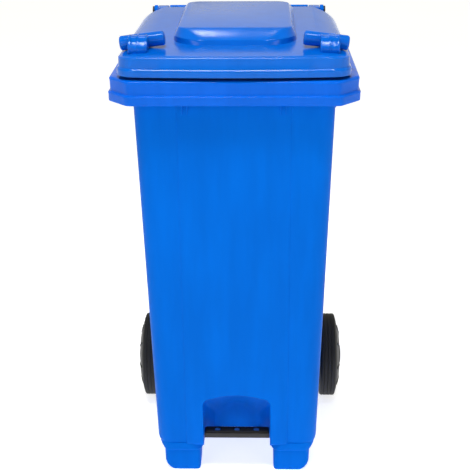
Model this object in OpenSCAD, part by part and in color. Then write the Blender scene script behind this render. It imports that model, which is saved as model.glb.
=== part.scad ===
// Two-wheeled household waste bin with a foot pedal that lifts the lid.
// X runs to the right, Y to the back and Z up. The origin is on the floor, in the middle of the plan.

/* [Overall] */
// Width over the rim
rim_w = 480; // [400:1:600]
// Depth from the front of the rim to the back of the wheels
depth = 550; // [480:1:680]
// Height of the rim's top face above the floor
rim_z = 880; // [730:1:1060]

/* [Tub] */
// Thickness of the tub's walls
wall = 4; // [3:0.5:6]
// Width of the tub at its base
base_w = 344; // [290:1:420]
// Height of the tub's base above the floor
base_z = 60; // [50:1:72]
// How far the front wall leans in from the rim to the base
front_lean = 55; // [40:1:70]
// How far the back wall leans in above the wheel recess
back_lean = 17; // [10:1:24]
// Radius of the tub's upright corners
tub_r = 36; // [24:1:48]
// Width of the raised panel on the front
panel_w = 216; // [180:1:260]
// How far that panel stands out
panel_proud = 2.5; // [1:0.5:3]

/* [Rim] */
// Height of the rim's band
rim_h = 47; // [35:1:60]
// How far the rim reaches out past the tub at each side
rim_reach = 46; // [36:1:56]
// How far the rim reaches out past the tub at the front
rim_reach_front = 25; // [18:1:32]
// Width of the rim's cut-off corners, along X
rim_cut_x = 39; // [25:1:50]
// Depth of the rim's cut-off corners, along Y
rim_cut_y = 47; // [30:1:60]
// How far the rim's lower half stands out past its upper half
ridge_proud = 2; // [1:0.5:3]
// Thickness of the webs under the rim
web_t = 4; // [3:0.5:6]

/* [Toe recess and feet] */
// Width of the toe recess at the front
toe_w = 143; // [120:1:170]
// Height of the middle of the recess's arched top above the floor
toe_top_z = 189; // [160:1:225]
// Depth of the recess
toe_depth = 84; // [70:1:100]
// Width of the recess's back wall
toe_back_w = 96; // [80:1:115]
// Gap between the two feet
feet_gap = 158; // [150:1:180]
// Width of a foot
foot_w = 78; // [65:1:90]
// Length of a foot, front to back
foot_l = 74; // [60:1:90]

/* [Lid] */
// Gap between the rim and the lid's lip
lid_gap = 6; // [4:0.5:8]
// How far the lid's lip lies inside the side of the rim
lid_inset = 19; // [14:1:26]
// Height of the lid's front above its lip's lower edge
lid_front_h = 39; // [32:1:48]
// How much higher the lid is at the back than at the front
lid_rise = 18; // [12:1:22]
// Thickness of the lid
lid_wall = 3; // [2.5:0.5:4]
// Height of the lip
lip_h = 16; // [12:1:20]
// How far the front edge bows forward in the middle
lid_bow = 8; // [4:1:12]
// Width of the raised panel on the lid, at its top
crest_w = 220; // [180:1:250]
// Height of that panel's top above the lid's back
crest_h = 13; // [10:1:16]
// Diameter of the grip rolls at the lid's front corners
grip_d = 28; // [22:1:30]
// Length of a grip roll
grip_l = 86; // [72:1:100]

/* [Hinge and handle] */
// Height of the hinge above the rim
hinge_up = 50; // [48:1:56]
// Diameter of the hinge pins
hinge_pin_d = 10; // [8:1:12]
// Diameter of the hinge knuckles
knuckle_d = 28; // [24:1:30]
// Distance of a hinge's middle from the centre line
hinge_x = 170; // [150:1:176]
// Width of the lid's knuckle
knuckle_w = 24; // [18:1:30]
// Thickness of the lugs on the tub
lug_t = 8; // [6:1:10]
// Gap between a lug and the lid's knuckle
lug_gap = 1.5; // [1:0.5:3]
// Diameter of the handle
handle_d = 28; // [24:1:30]
// Furthest that the lid opens, in degrees
lid_open = 75; // [60:1:80]

/* [Wheels] */
// Diameter over the tyre
wheel_d = 200; // [180:1:215]
// Width of the tread
tread_w = 37; // [30:1:42]
// Diameter of the wheel under the tyre
rim_seat_d = 168; // [150:1:176]
// Diameter of the axle
axle_d = 20; // [16:1:24]
// Gap between the tub's base and a wheel's hub
wheel_gap = 18; // [12:1:28]

/* [Pedal] */
// Width of the tread bar
tread_bar_w = 140; // [112:1:141]
// Depth of the tread bar
tread_bar_d = 26; // [20:1:32]
// Height of the tread bar's lower face above the floor
tread_z = 79; // [72:1:90]
// Distance of the lever's pivot from the centre of the plan
pivot_y = 20; // [0:1:40]
// Height of the lever's pivot above the floor
pivot_z = 46; // [44:1:47]
// Height of the lever's bars
bar_h = 16; // [12:1:18]
// Thickness of the lever's bars
bar_t = 6; // [4:1:8]
// Distance between the lever's bars, centre to centre
bar_gap = 84; // [60:1:96]
// Diameter of the push rod
rod_d = 8; // [7:1:10]
// Distance of the push rod in front of the hinge
crank = 27; // [25:1:30]

/* [Fits] */
// Radial clearance of a shaft that turns in its bore
run = 0.05; // [0.02:0.01:0.1]
// Clearance between pieces that rest against each other
rest_gap = 0.3; // [0.2:0.05:0.5]
// Gap left between flat faces that are screwed together
seat_gap = 0.05; // [0.02:0.01:0.1]

/* [Hidden] */
$fn = 64;
cut = 1;       // how far a cutting solid runs past what it cuts
blue = [0.0, 0.39, 0.84];

// the tub, from the floor up
front_y = -depth / 2;
back_y = depth / 2;
axle_y = back_y - wheel_d / 2;
axle_z = wheel_d / 2;
hinge_y = back_y - 25;
hinge_z = rim_z + hinge_up;
rim_low_z = rim_z - rim_h;
top_hw = rim_w / 2 - rim_reach;
tub_front_y = front_y + rim_reach_front;
tub_back_y = hinge_y - 35;
recess_z = axle_z + 65;                  // top of the wall in front of the axle
roof_z = recess_z + 50;                  // top of the slope over the axle
recess_y = axle_y - 45;
base_back_y = axle_y - 60;
rim_back_y = tub_back_y + 20;
corner_n = 8;

function mix(a, b, t) = a + (b - a) * t;
function fall(z) = max(0, (rim_low_z - z) / (rim_low_z - base_z));
function wall_front(z) = tub_front_y + front_lean * fall(z);
function wall_side(z) = mix(top_hw, base_w / 2, fall(z));
function wall_back(z) =
    z >= roof_z ? tub_back_y - back_lean * max(0, (rim_low_z - z) / (rim_low_z - roof_z))
    : z >= recess_z ? mix(recess_y, tub_back_y - back_lean, (z - recess_z) / (roof_z - recess_z))
    : mix(base_back_y, recess_y, (z - base_z) / (recess_z - base_z));

// points of a rectangle with round corners, radius rb at the back and rf at the front
function round_rect(hw, y0, y1, rf, rb, n) = [
    for (c = [0:3], i = [0:n])
        let (r = c < 2 ? rb : rf, a = 90 * c + 90 * i / n,
             x = (c == 0 || c == 3 ? 1 : -1) * (hw - r), y = c < 2 ? y1 - r : y0 + r)
        [x + r * cos(a), y + r * sin(a)]];
function at_z(pts, z) = [for (p = pts) [p.x, p.y, z]];
function tub_ring(z, inset, lift) = at_z(round_rect(wall_side(z) - inset, wall_front(z) + inset,
    wall_back(z) - inset, tub_r - inset, tub_r - inset, corner_n), z + lift);

// closed solid through rings that have the same number of points
module loft(rings) {
    n = len(rings[0]);
    m = len(rings);
    points = [for (ring = rings) each ring];
    sides = [for (i = [0:m - 2], j = [0:n - 1], h = [0:1])
        let (k = (j + 1) % n, a = i * n + j, b = i * n + k, c = b + n, d = a + n)
        h == 0 ? [a, d, c] : [a, c, b]];
    first = [for (j = [0:n - 1]) j];
    last = [for (j = [n - 1:-1:0]) (m - 1) * n + j];
    polyhedron(points, concat([first], sides, [last]), convexity = 8);
}

module along_x(x0, x1) {   // draws a Y-Z outline as a slab from x0 to x1
    translate([x0, 0, 0]) rotate([90, 0, 90]) linear_extrude(x1 - x0) children();
}

module rod_x(r, x0, x1, y, z) {   // round bar along X
    translate([x0, y, z]) rotate([0, 90, 0]) cylinder(r = r, h = x1 - x0);
}

module both_sides() {
    children();
    mirror([1, 0, 0]) children();
}

// ---- body ----
tub_levels = [base_z, recess_z, roof_z, rim_low_z, rim_z];
lug_in = hinge_x - knuckle_w / 2 - lug_gap;     // inner lug's outer face
lug_out = hinge_x + knuckle_w / 2 + lug_gap;    // outer lug's inner face
lug_r = knuckle_d / 2 + 1;
rod_y = hinge_y - crank;

module tub_shell() {
    loft(concat([for (z = tub_levels) tub_ring(z, 0, 0)],
        [for (k = [len(tub_levels) - 1:-1:0])
            tub_ring(tub_levels[k], wall, k < 3 ? wall : 0)]));
}

module rim_outline(grow) {
    w = rim_w / 2 + grow;
    f = front_y - grow;
    polygon([[w - rim_cut_x, f], [w, f + rim_cut_y], [w, rim_back_y - 12], [w - 40, rim_back_y],
        [40 - w, rim_back_y], [-w, rim_back_y - 12], [-w, f + rim_cut_y], [rim_cut_x - w, f]]);
}

module rim() {
    half = rim_h * 0.4;
    difference() {
        union() {
            translate([0, 0, rim_low_z]) linear_extrude(half) rim_outline(0);
            translate([0, 0, rim_low_z + half - cut]) linear_extrude(rim_h - half + cut)
                rim_outline(-ridge_proud);
        }
        translate([0, 0, rim_low_z - cut]) linear_extrude(rim_h + 2 * cut)
            polygon(round_rect(top_hw - wall / 2, tub_front_y + wall / 2, tub_back_y - wall / 2,
                tub_r - wall / 2, tub_r - wall / 2, corner_n));
        translate([0, 0, rim_low_z - cut]) linear_extrude(rim_h - wall + cut) difference() {
            offset(delta = -wall) rim_outline(-ridge_proud);
            polygon(round_rect(top_hw, tub_front_y, tub_back_y, tub_r, tub_r, corner_n));
        }
    }
}

module front_panel() {
    low = base_z;
    along_x(-panel_w / 2, panel_w / 2)
        polygon([[wall_front(low) - panel_proud, low], [wall_front(low) + wall / 2, low],
            [wall_front(rim_low_z) + wall / 2, rim_low_z + wall],
            [wall_front(rim_low_z) - panel_proud, rim_low_z + wall]]);
}

module webs() {   // stiffening webs between the tub and the rim's underside
    web_h = 34;
    for (x = [-93.5, 93.5]) along_x(x - web_t / 2, x + web_t / 2)
        polygon([[tub_front_y + wall / 2, rim_z - wall / 2], [front_y + wall, rim_z - wall / 2],
            [front_y + wall, rim_low_z], [tub_front_y + front_lean * fall(rim_low_z - web_h) + wall / 2,
            rim_low_z - web_h]]);
    both_sides() for (y = [front_y + 100, 0, tub_back_y - 60])
        translate([0, y + web_t / 2, 0]) rotate([90, 0, 0]) linear_extrude(web_t)
            polygon([[top_hw - wall / 2, rim_z - wall / 2], [rim_w / 2 - wall, rim_z - wall / 2],
                [rim_w / 2 - 2 * wall, rim_low_z], [top_hw + 10, rim_low_z - 38],
                [wall_side(rim_low_z - 48) - wall / 2, rim_low_z - 48]]);
}

// arch of the toe recess from lower left to lower right, as [x, z]
function arch(hw, low, top, rise, r) = concat([[-hw, low]],
    [for (i = [0:4]) [-hw + r - r * cos(22.5 * i), top - rise - r + r * sin(22.5 * i)]],
    [for (i = [-2:2]) let (x = i * (hw - r) / 3) [x, top - rise * pow(x / (hw - r), 2)]],
    [for (i = [4:-1:0]) [hw - r + r * cos(22.5 * i), top - rise - r + r * sin(22.5 * i)]],
    [[hw, low]]);
toe_back_y = wall_front(base_z) + toe_depth;
toe_back_z = toe_top_z - 66;

toe_straight = tread_bar_d + 8;      // the sides run straight back past the tread bar, then close in

module toe_space(grow, y_front, low) {
    front = arch(toe_w / 2 + grow, low, toe_top_z + grow, 9, 18 + grow);
    mid = arch(toe_w / 2 + grow, low, mix(toe_top_z, toe_back_z, 0.3) + grow, 9, 18 + grow);
    back = arch(toe_back_w / 2 + grow, low, toe_back_z + grow, 22, 12 + grow);
    loft([[for (p = front) [p.x, wall_front(p.y) + y_front, p.y]],
        [for (p = front) [p.x, wall_front(p.y) + max(y_front, 0) + 0.5, p.y]],
        [for (p = mid) [p.x, wall_front(p.y) + toe_straight, p.y]],
        [for (p = back) [p.x, toe_back_y + grow, p.y]]]);
}

module foot() {   // hollow foot under each front corner, open at its top into the base
    x0 = feet_gap / 2;
    foot_front = wall_front(base_z) + 4;
    round_out = 18;
    hull() {
        translate([x0, foot_front, 40]) cube([foot_w, foot_l, base_z + wall / 2 - 40]);
        translate([x0, foot_front + 2, 0]) cube([10, foot_l - 6, 1]);
        translate([x0 + foot_w - round_out, foot_front + 2, round_out]) rotate([-90, 0, 0])
            cylinder(r = round_out, h = foot_l - 6, $fn = 32);
    }
}

module base_skirt() {   // the front wall's deeper lower edge over the feet
    skirt_z = base_z - 10;
    both_sides() hull() {
        translate([toe_w / 2, wall_front(base_z), base_z]) cube([base_w / 2 - toe_w / 2 - tub_r, foot_l, wall]);
        translate([feet_gap / 2 - 2, wall_front(base_z) + 3, skirt_z])
            cube([base_w / 2 - feet_gap / 2 - tub_r, foot_l - 6, 1]);
    }
}

ear_x = 150;     // middle of the ears that carry the axle
ear_t = 12;
ear_r = axle_d / 2 + 12;
module axle_ears() {
    for (x = [-ear_x, -62, 62, ear_x]) along_x(x - ear_t / 2, x + ear_t / 2) {
        translate([axle_y, axle_z]) circle(ear_r);
        polygon([[base_back_y - wall / 2, base_z + wall / 2], [axle_y - ear_r * 0.2, axle_z - ear_r + 0.5],
            [axle_y + ear_r, axle_z], [axle_y + ear_r, roof_z], [wall_back(roof_z) - 1, roof_z + 4],
            [recess_y - 1, recess_z + 1]]);
    }
}

pivot_lug_t = 6;
pivot_lug_r = 11;
pivot_lug_x = bar_gap / 2 - bar_t / 2 - 1 - pivot_lug_t;   // inner face of a pivot lug
module pivot_lugs() {
    both_sides() along_x(pivot_lug_x, pivot_lug_x + pivot_lug_t) {
        translate([pivot_y, pivot_z]) circle(pivot_lug_r);
        polygon([[pivot_y - pivot_lug_r, pivot_z], [pivot_y - 18, base_z + wall / 2],
            [pivot_y + 18, base_z + wall / 2], [pivot_y + pivot_lug_r, pivot_z]]);
    }
}

module hinge_lugs() {
    both_sides() for (x = [lug_in - lug_t, lug_out]) along_x(x, x + lug_t) {
        translate([hinge_y, hinge_z]) circle(lug_r);
        polygon([[hinge_y - lug_r, hinge_z], [hinge_y - lug_r, rim_z], [tub_back_y - wall / 2, rim_z - cut],
            [tub_back_y - wall / 2, rim_low_z], [rim_back_y, rim_low_z],
            [hinge_y + lug_r, rim_z + 12], [hinge_y + lug_r, hinge_z]]);
    }
}

guide_z = 420;        // height of the rod guide's middle
module guide_bosses() {   // two screw bosses on the back wall
    for (x = [-24, 24]) translate([x, wall_back(guide_z) - wall / 2, guide_z]) rotate([-90, 0, 0])
        cylinder(r = 8, h = guide_seat_y - wall_back(guide_z) + wall / 2);
}
guide_seat_y = rod_y - rod_d / 2 - 5;

module body() {
    color(blue) difference() {
        union() {
            tub_shell();
            rim();
            front_panel();
            webs();
            toe_space(wall, wall / 2, base_z);
            both_sides() foot();
            base_skirt();
            axle_ears();
            pivot_lugs();
            hinge_lugs();
            rod_x(handle_d / 2, -lug_in + cut, lug_in - cut, hinge_y, hinge_z);
            guide_bosses();
        }
        toe_space(0, -30, base_z - 2 * cut - 20);
        rod_x(axle_d / 2 + run, -rim_w / 2, rim_w / 2, axle_y, axle_z);
        rod_x(pivot_d / 2 + run, -rim_w / 2, rim_w / 2, pivot_y, pivot_z);
        both_sides() rod_x(hinge_pin_d / 2 + run, lug_in - lug_t - 20, rim_w / 2, hinge_y, hinge_z);
        translate([0, rod_y, rim_low_z - cut]) cylinder(r = rod_d / 2 + 1.5, h = rim_h + 2 * cut);
        for (x = [-24, 24]) translate([x, wall_back(guide_z) + wall / 2, guide_z]) rotate([-90, 0, 0])
            cylinder(r = screw_d / 2 + run, h = 40);
        both_sides() for (y = buffer_ys) translate([buffer_x, y, rim_z - wall - cut])
            cylinder(r = buffer_stem_r + run, h = wall + 2 * cut);
    }
}
screw_d = 5;
pivot_d = 10;

// ---- lid ----
lip_z = rim_z + lid_gap;
ledge_z = lip_z + lip_h;
lid_hw = rim_w / 2 - lid_inset;
lid_back_y = hinge_y - 20;
lid_r = 38;
crest_z = lip_z + lid_front_h + lid_rise + crest_h;
function lid_t(y) = (y - front_y) / (lid_back_y - front_y);
function lid_top(y) = lip_z + lid_front_h + lid_rise * lid_t(y);
// outline with the sides, front and back moved in by dx, df and db
function lid_outline(dx, df, db) =
    let (h = lid_hw - dx, r = lid_r - dx / 2, y0 = front_y + df, y1 = lid_back_y - db, n = corner_n) [
    for (c = [0:2], i = [0:n]) let (a = 90 * c + 90 * i / n)
        [(c == 0 ? 1 : -1) * (h - r) + r * cos(a), (c < 2 ? y1 - r : y0 + lid_bow + r) + r * sin(a)],
    for (i = [-5:5]) let (x = i * (h - r) / 6) [x, y0 + lid_bow * pow(x / (h - r), 2)],
    for (i = [0:n]) let (a = 270 + 90 * i / n)
        [h - r + r * cos(a), y0 + lid_bow + r + r * sin(a)]];
// the crown falls to the sides: each pair is how far in from the side, and how far below the top
crown = [[4.5, 32], [9, 24], [18, 15.5], [31, 8.5], [44, 3], [58, 0]];
function crown_fall(y) = mix(0.15, 1, lid_t(y));
function crown_ring(k, inset) = let (c = crown[k])
    [for (p = lid_outline(c[0] + inset, c[0] * 0.12 + inset, c[0] * 0.25 + inset))
        [p.x, p.y, lid_top(p.y) - c[1] * crown_fall(p.y) - inset]];
flare = 3;

module lid_shell() {
    w = lid_wall;
    last = len(crown) - 1;
    loft(concat([for (k = [last:-1:0]) crown_ring(k, w)],
        [at_z(lid_outline(flare + w, flare + w, flare + w), ledge_z - w),
         at_z(lid_outline(w, w, w), ledge_z - flare - w), at_z(lid_outline(w, w, w), lip_z),
         at_z(lid_outline(0, 0, 0), lip_z), at_z(lid_outline(0.5, 0.5, 0.5), ledge_z - flare),
         at_z(lid_outline(flare, flare, flare), ledge_z)],
        [for (k = [0:last]) crown_ring(k, 0)]));
}

crest_back_y = lid_back_y - 22;
crest_front_y = front_y + 97;
function crest_ring(grow, forward, up, rf) =
    [for (p = round_rect(crest_w / 2 + grow, crest_front_y + forward, crest_back_y, rf, 26, corner_n))
        [p.x, p.y, up < 0 ? lid_top(p.y) + up : mix(lid_top(p.y), crest_z, up)]];
module crest(inset) {   // raised panel, with a two-step bevel at its front
    i = inset;
    rings = [crest_ring(10 - i, i, -1.5 - 2.2 * i, 60), crest_ring(9 - i, 10 + i, 0.34, 52),
        crest_ring(-i, 42 + i, 1, 20)];
    loft([for (ring = rings) [for (p = ring) [p.x, p.y, p.z - (p.z > lid_top(p.y) ? i : 0)]]]);
}

grip_y = front_y + 62;
grip_x = lid_hw - 4;
module grip() {   // roll with a ribbed strap over it
    tilt = 7;
    strap_x = 180;
    strap_w = 36;
    y = grip_y;
    roll_y = y + 22;
    strap_z = lid_top(y) + grip_d + 1;
    translate([grip_x - grip_l / 2, roll_y, lid_top(roll_y) + 8]) rotate([0, 90 + tilt, 0])
        cylinder(r = grip_d / 2, h = grip_l, center = true);
    along_x(strap_x - strap_w / 2, strap_x + strap_w / 2)
        polygon([[y - 24, lid_top(y) - 4], [y - 22, strap_z - 8], [y - 14, strap_z - 3], [y, strap_z - 2],
            [y + 120, lid_top(y + 120) - 1], [y + 120, lid_top(y + 120) - 2.5]]);
    for (x = [-1:1]) along_x(strap_x + x * 15 - 1.5, strap_x + x * 15 + 1.5)
        polygon([[y - 25, lid_top(y) - 2], [y - 24, strap_z - 7], [y - 15, strap_z - 1], [y, strap_z],
            [y + 140, lid_top(y + 140)], [y + 140, lid_top(y + 140) - 2.5], [y, strap_z - 4]]);
}

module lid_knuckles() {
    both_sides() along_x(hinge_x - knuckle_w / 2, hinge_x + knuckle_w / 2) {
        translate([hinge_y, hinge_z]) circle(knuckle_d / 2);
        polygon([[lid_back_y - 13, lid_top(lid_back_y) - 13], [lid_back_y - 16, lid_top(lid_back_y) - 2],
            [hinge_y, hinge_z + knuckle_d / 2], [hinge_y, hinge_z - knuckle_d / 2],
            [lid_back_y - 2, hinge_z - knuckle_d / 2 - 3]]);
    }
}

module lid() {
    rod_slot_hw = 24;
    color(blue) difference() {
        union() {
            lid_shell();
            crest(0);
            both_sides() grip();
            lid_knuckles();
        }
        difference() {
            crest(lid_wall);
            bracket_seat();
        }
        both_sides() rod_x(hinge_pin_d / 2 + run, lug_in - lug_t, rim_w / 2, hinge_y, hinge_z);
        translate([-rod_slot_hw, lid_back_y - 12, lip_z - cut]) cube([2 * rod_slot_hw, 30, hinge_z - lip_z + cut]);
        for (p = bracket_holes) translate([p.x, p.y, lid_top(p.y) - lid_wall - cut])
            cylinder(r = screw_d / 2 + run, h = screw_grip + 2 * cut);
    }
}
bracket_y0 = rod_y - 60;
bracket_y1 = rod_y - 12;
bracket_holes = [for (x = [-22, 22], y = [bracket_y0 + 9, bracket_y1 - 11]) [x, y]];
screw_grip = 8;

module bracket_seat() {   // solid pad inside the raised panel, for the bracket's screws
    along_x(-35, 35) polygon([[bracket_y0 - 2, lid_top(bracket_y0) - 3 * lid_wall],
        [bracket_y0 - 2, crest_z], [lid_back_y, crest_z], [lid_back_y, lid_top(bracket_y0) - 3 * lid_wall]]);
}

// ---- hinge pins, axle and wheels ----
module hinge_pins() {
    head = 4;
    color("black") both_sides() {
        rod_x(hinge_pin_d / 2, lug_in - lug_t - 4, lug_out + lug_t + rest_gap, hinge_y, hinge_z);
        rod_x(hinge_pin_d / 2 + 4, lug_out + lug_t + rest_gap, lug_out + lug_t + rest_gap + head, hinge_y, hinge_z);
    }
}

hub_in = base_w / 2 + wheel_gap;           // inner face of a wheel's hub
tread_in = hub_in + 3;
tread_out = tread_in + tread_w;
face_out = tread_out + 11;                 // the outer side slopes out from the tread to a flat face
face_r = wheel_d * 0.3;
function slope_x(r) = mix(tread_out, face_out, (wheel_d / 2 - r) / (wheel_d / 2 - face_r));
hub_seat = face_out - 7;                   // outer end of the bore
clip_t = 3;
cap_out = face_out + 5.5;
axle_end = hub_seat + rest_gap + clip_t + 3;
dome_r = 24;

module axle() {
    color("silver") rod_x(axle_d / 2, -axle_end, axle_end, axle_y, axle_z);
}

module ring_x(r0, r1, x0, x1) {   // ring round the axle
    translate([x0, axle_y, axle_z]) rotate([0, 90, 0]) difference() {
        cylinder(r = r1, h = x1 - x0);
        translate([0, 0, -cut]) cylinder(r = r0, h = x1 - x0 + 2 * cut);
    }
}

module axle_washers() {   // spacers between the outer ears and the hubs
    color("dimgray") both_sides()
        ring_x(axle_d / 2 + run, axle_d / 2 + 5, ear_x + ear_t / 2 + rest_gap, hub_in - rest_gap);
}

module axle_clips() {
    color("silver") both_sides()
        ring_x(axle_d / 2 + run, axle_d / 2 + 6, hub_seat + rest_gap, hub_seat + rest_gap + clip_t);
}

module wheel() {
    disc_t = 6;
    seat = rim_seat_d / 2;
    color([0.08, 0.08, 0.08]) translate([0, axle_y, axle_z]) rotate([0, 90, 0]) rotate_extrude($fn = 96)
        polygon([[axle_d / 2 + run, hub_in], [dome_r, hub_in], [dome_r + 2, face_out - disc_t], [face_r, face_out - disc_t],
            [seat - 6, slope_x(seat - 6) - disc_t], [seat - 6, tread_in + 2], [seat, tread_in + 2],
            [seat, slope_x(seat)], [face_r, face_out], [dome_r, face_out], [dome_r, hub_seat],
            [axle_d / 2 + run, hub_seat]]);
}
module wheel_left() { mirror([1, 0, 0]) wheel(); }
module wheel_right() { wheel(); }

module tyre() {
    r = wheel_d / 2;
    seat = rim_seat_d / 2;
    edge = 4;
    color([0.05, 0.05, 0.05]) translate([0, axle_y, axle_z]) rotate([0, 90, 0]) rotate_extrude($fn = 96)
        polygon([[seat, tread_in], [r - edge, tread_in], [r, tread_in + edge], [r, tread_out],
            [seat, slope_x(seat)]]);
}
module tyre_left() { mirror([1, 0, 0]) tyre(); }
module tyre_right() { tyre(); }

module hub_cap() {   // snaps into the hub's outer recess
    r = dome_r - rest_gap;
    color([0.1, 0.1, 0.1]) translate([0, axle_y, axle_z]) rotate([0, 90, 0]) rotate_extrude()
        polygon([[r - 2, hub_seat + rest_gap], [r, hub_seat + rest_gap], [r, cap_out - 2.5], [r - 5, cap_out],
            [0, cap_out], [0, cap_out - 2.5], [r - 6, cap_out - 2.5], [r - 2, cap_out - 4.5]]);
}
module hub_cap_left() { mirror([1, 0, 0]) hub_cap(); }
module hub_cap_right() { hub_cap(); }

// ---- pedal, lever and push rod ----
tread_h = 11;
tread_front = wall_front(base_z) + 3;
bar_x = bar_gap / 2;
bar_top = pivot_z + bar_h / 2;
heel_top = bar_top - 15;                   // the bars dip behind the pivot, to clear the base as they rise
knee_y = toe_back_y - 6;
plate_t = 3;
tread_seat_z = tread_z + 4;

module pedal_tread() {   // channel-shaped step, open below
    color([0.07, 0.07, 0.07]) difference() {
        translate([-tread_bar_w / 2, tread_front, tread_z]) cube([tread_bar_w, tread_bar_d, tread_h]);
        translate([-tread_bar_w / 2 + 4, tread_front + 4, tread_z - cut])
            cube([tread_bar_w - 8, tread_bar_d + cut, 5 + cut]);
        for (x = bolt_xs) translate([x, tread_front + tread_bar_d / 2, tread_z])
            cylinder(r = bolt_r + run, h = tread_h + cut);
    }
}
bolt_xs = [-bar_x, 0, bar_x];
bolt_r = 3;
pad_t = 3;

module pedal_pad() {   // ribbed rubber cover
    color([0.04, 0.04, 0.04]) difference() {
        union() {
            translate([-tread_bar_w / 2 + 3, tread_front + 2, tread_z + tread_h])
                cube([tread_bar_w - 6, tread_bar_d - 4, pad_t]);
            for (y = [4:5:tread_bar_d - 6]) translate([-tread_bar_w / 2 + 3, tread_front + y, tread_z + tread_h])
                cube([tread_bar_w - 6, 2, pad_t + 1]);
        }
        for (x = bolt_xs) translate([x, tread_front + tread_bar_d / 2, tread_z + tread_h - cut])
            cylinder(r = bolt_r * 2 + 1, h = pad_t + 3);
    }
}

module pedal_bolts() {
    head_z = tread_z + tread_h;
    color("silver") for (x = bolt_xs) translate([x, tread_front + tread_bar_d / 2, 0]) {
        translate([0, 0, tread_z + 1]) cylinder(r = bolt_r, h = tread_h - 1);
        translate([0, 0, head_z]) cylinder(r = bolt_r * 2, h = 3);
    }
}

module pedal_lever() {
    knee_z = tread_seat_z;
    back = rod_y + 10;
    mount_back = tread_front + tread_bar_d - 1;
    color([0.12, 0.12, 0.12]) difference() {
        union() {
            for (s = [-1, 1]) along_x(s * bar_x - bar_t / 2, s * bar_x + bar_t / 2)
                polygon([[knee_y, pivot_z - bar_h / 2], [pivot_y + 10, pivot_z - bar_h / 2],
                    [pivot_y + 66, heel_top - bar_h], [back, heel_top - bar_h], [back, heel_top],
                    [pivot_y + 70, heel_top], [pivot_y + 14, bar_top], [knee_y + 4, bar_top],
                    [mount_back + 5, knee_z - 1], [mount_back - 12, knee_z - 1],
                    [mount_back - 12, knee_z - 4], [mount_back - 3, knee_z - 7]]);
            translate([-bar_x, rod_y - 10, heel_top - 6]) cube([bar_gap, 20, 6]);
            translate([-tread_bar_w / 2 + 6, tread_front + 6, knee_z - plate_t - 1])
                cube([tread_bar_w - 12, tread_bar_d - 8, plate_t + 1]);
            for (s = [-1, 1]) rod_x(13 / 2 + 2, s * bar_x - bar_t / 2, s * bar_x + bar_t / 2, pivot_y, pivot_z);
        }
        rod_x(pivot_d / 2 + run, -bar_gap, bar_gap, pivot_y, pivot_z);
        for (x = bolt_xs) translate([x, tread_front + tread_bar_d / 2, knee_z - 20])
            cylinder(r = bolt_r + run, h = 40);
    }
}

pin_half = bar_x + bar_t / 2 + 6;
module pivot_pin() {
    color("silver") rod_x(pivot_d / 2, -pin_half, pin_half, pivot_y, pivot_z);
}

module pivot_clips() {
    color("silver") both_sides() difference() {
        rod_x(pivot_d / 2 + 4, bar_x + bar_t / 2 + rest_gap, bar_x + bar_t / 2 + rest_gap + 2, pivot_y, pivot_z);
        rod_x(pivot_d / 2 + run, 0, rim_w, pivot_y, pivot_z);
    }
}

// The lever's back end lifts the rod, and the rod's pin lifts the slotted bracket under the lid.
half_open = lid_open / 2;
pin_z = hinge_z - crank * tan(half_open);
foot_r = 6;
foot_z = heel_top + rest_gap + foot_r;
head_r = 7;
head_hw = 5;
rod_pin_d = 6;

module push_rod() {
    color("silver") difference() {
        union() {
            translate([0, rod_y, foot_z + 4]) cylinder(r = rod_d / 2, h = pin_z - foot_z - 4);
            rod_x(head_r, -head_hw, head_hw, rod_y, pin_z);
        }
        rod_x(rod_pin_d / 2 + run, -20, 20, rod_y, pin_z);
    }
}

module rod_foot() {   // plastic shoe on the rod's lower end
    color("black") difference() {
        union() {
            translate([0, rod_y, foot_z]) sphere(foot_r);
            translate([0, rod_y, foot_z]) cylinder(r = foot_r, h = 20);
        }
        translate([0, rod_y, foot_z + 4]) cylinder(r = rod_d / 2 + run, h = 40);
    }
}

ear_in = head_hw + 1.5;
bracket_t = 3;
module rod_pin() {
    half = ear_in + bracket_t + 4;
    color("silver") {
        rod_x(rod_pin_d / 2, -half, half, rod_y, pin_z);
        both_sides() rod_x(rod_pin_d / 2 + 2, half, half + 2, rod_y, pin_z);
    }
}

module rod_guide() {
    color([0.1, 0.1, 0.1]) difference() {
        union() {
            translate([-34, guide_seat_y, guide_z - 9]) cube([68, 4, 18]);
            translate([0, rod_y, guide_z - 12]) cylinder(r = rod_d / 2 + 4, h = 24);
        }
        translate([0, rod_y, guide_z - 20]) cylinder(r = rod_d / 2 + run, h = 40);
        for (x = [-24, 24]) translate([x, guide_seat_y - cut, guide_z]) rotate([-90, 0, 0])
            cylinder(r = screw_d / 2 + run, h = 10);
    }
}

module guide_screws() {
    screw_l = 12;
    color("silver") for (x = [-24, 24]) translate([x, guide_seat_y + 4, guide_z]) rotate([-90, 0, 0]) {
        translate([0, 0, -screw_l]) cylinder(r = screw_d / 2, h = screw_l);
        cylinder(r = screw_d, h = 2.5);
    }
}

slot_hw = rod_pin_d / 2 + 1.5;
slot_near = crank - 1;
slot_far = crank / cos(half_open) + 1;
function slot_at(r) = [hinge_y - r * cos(half_open), hinge_z - r * sin(half_open)];

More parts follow.
